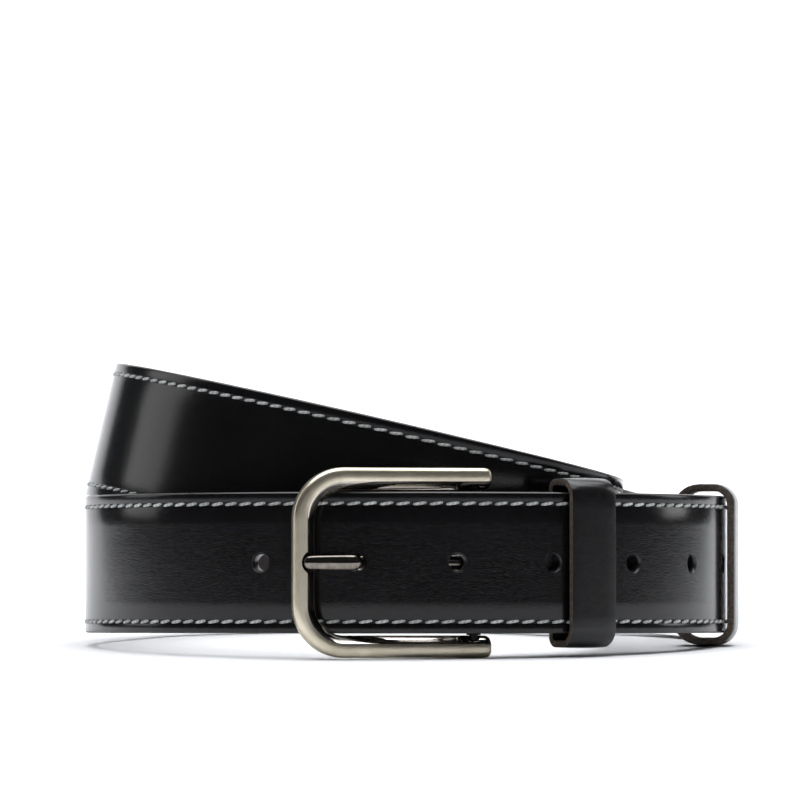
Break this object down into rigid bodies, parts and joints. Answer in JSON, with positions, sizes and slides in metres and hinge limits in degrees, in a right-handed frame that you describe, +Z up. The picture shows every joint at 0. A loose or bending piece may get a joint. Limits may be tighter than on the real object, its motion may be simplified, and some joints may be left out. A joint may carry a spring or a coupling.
{
  "type": "leather belt",
  "caption": "Black leather dress belt with a satin prong buckle and two leather keepers, buckled and standing on edge in a double loop",
  "frame": {"origin": "Middle of the object's bounding box on the ground: the coil stands on edge on Z = 0.", "axes": "+Z up. -Y is the front, where the buckle is. +X is to the right seen from the front, where the loose keeper is."},
  "size_m": [0.1684, 0.161, 0.0723],
  "materials": {
    "face_leather": "glossy polished black, grained",
    "lining_leather": "matt black-brown lining leather",
    "keeper_leather": "semi-gloss black with raw grey-brown cut edges",
    "needle_thread": "light grey waxed polyester thread",
    "bobbin_thread": "darker grey polyester thread",
    "satin_nickel": "satin nickel face with polished inner bevels",
    "polished_nickel": "polished nickel",
    "steel": "drawn steel wire"
  },
  "bodies": {
    "strap": {"strap_face": "face_leather", "strap_lining": "lining_leather", "seam_thread_upper": "needle_thread", "seam_thread_lower": "needle_thread", "seam_thread_tip": "needle_thread", "bobbin_thread_upper": "bobbin_thread", "bobbin_thread_lower": "bobbin_thread", "bobbin_thread_tip": "bobbin_thread", "chape_thread": "needle_thread", "fixed_keeper": "keeper_leather"},
    "buckle": {"buckle_frame": "satin_nickel", "heel_bar": "steel"},
    "prong": {"prong": "polished_nickel"},
    "loose_keeper": {"loose_keeper": "keeper_leather", "keeper_staple": "steel"}
  },
  "joints": [
    {"name": "frame_pivot", "type": "hinge", "parent": "strap", "child": "buckle", "pos_m": [0.01546, -0.06713, 0.02354], "axis": [0, 0.0438, 0.999], "range_deg": [0, 2]},
    {"name": "prong_pivot", "type": "hinge", "parent": "buckle", "child": "prong", "pos_m": [0.01546, -0.06713, 0.02354], "axis": [0, 0.0438, 0.999], "range_deg": [0, 3]},
    {"name": "loose_keeper_slide", "type": "hinge", "parent": "strap", "child": "loose_keeper", "pos_m": [-0.0015, 0.00627, 0.02033], "axis": [0, 0.0438, 0.999], "range_deg": [-28, 1.5]}
  ]
}
